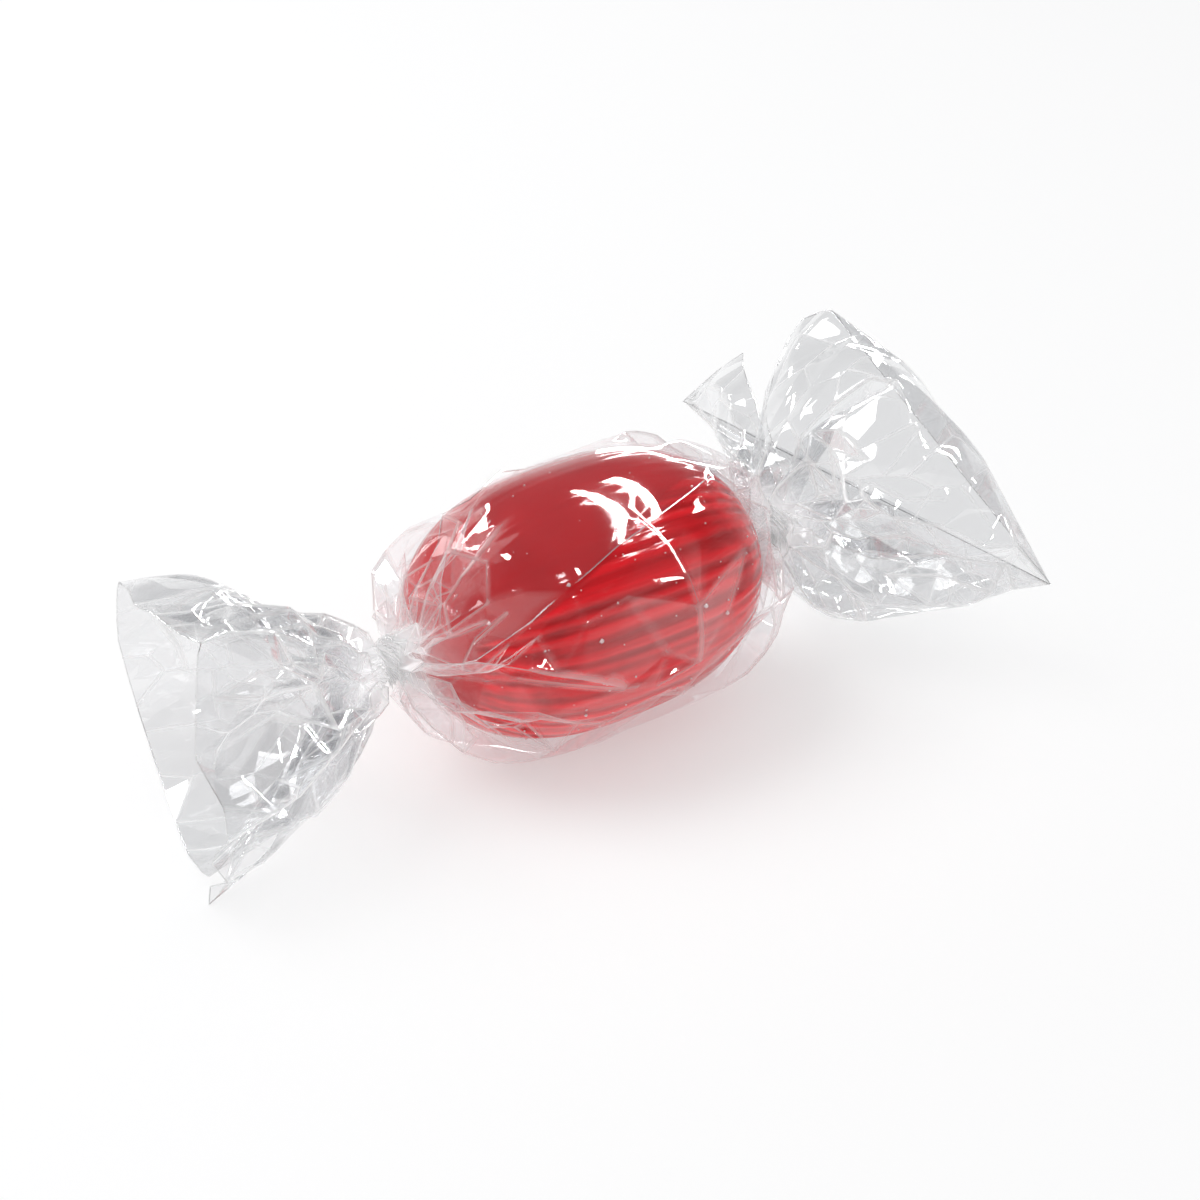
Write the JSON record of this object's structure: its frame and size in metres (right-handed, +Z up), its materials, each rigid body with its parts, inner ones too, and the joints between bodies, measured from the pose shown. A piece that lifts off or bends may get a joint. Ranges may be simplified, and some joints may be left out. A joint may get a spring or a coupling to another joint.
{
  "type": "wrapped hard candy",
  "caption": "Red oval boiled sweet in clear film, twisted tight at each end, with an open crumpled wing beyond each twist.",
  "frame": {"origin": "on the surface that the sweet lies on, under the middle of the whole wrapped sweet", "axes": "+X along the sweet, towards the wing with the taller corner, and +Z up"},
  "size_m": [0.064, 0.0214, 0.0217],
  "materials": {
    "sweet": "boiled sugar, glassy and slightly see-through, deep red with fine pulled streaks along it",
    "film": "thin clear wrapping film, crisp and very glossy, creased into facets"
  },
  "bodies": {
    "root": {"wrapped_candy": "sweet"}
  },
  "joints": []
}
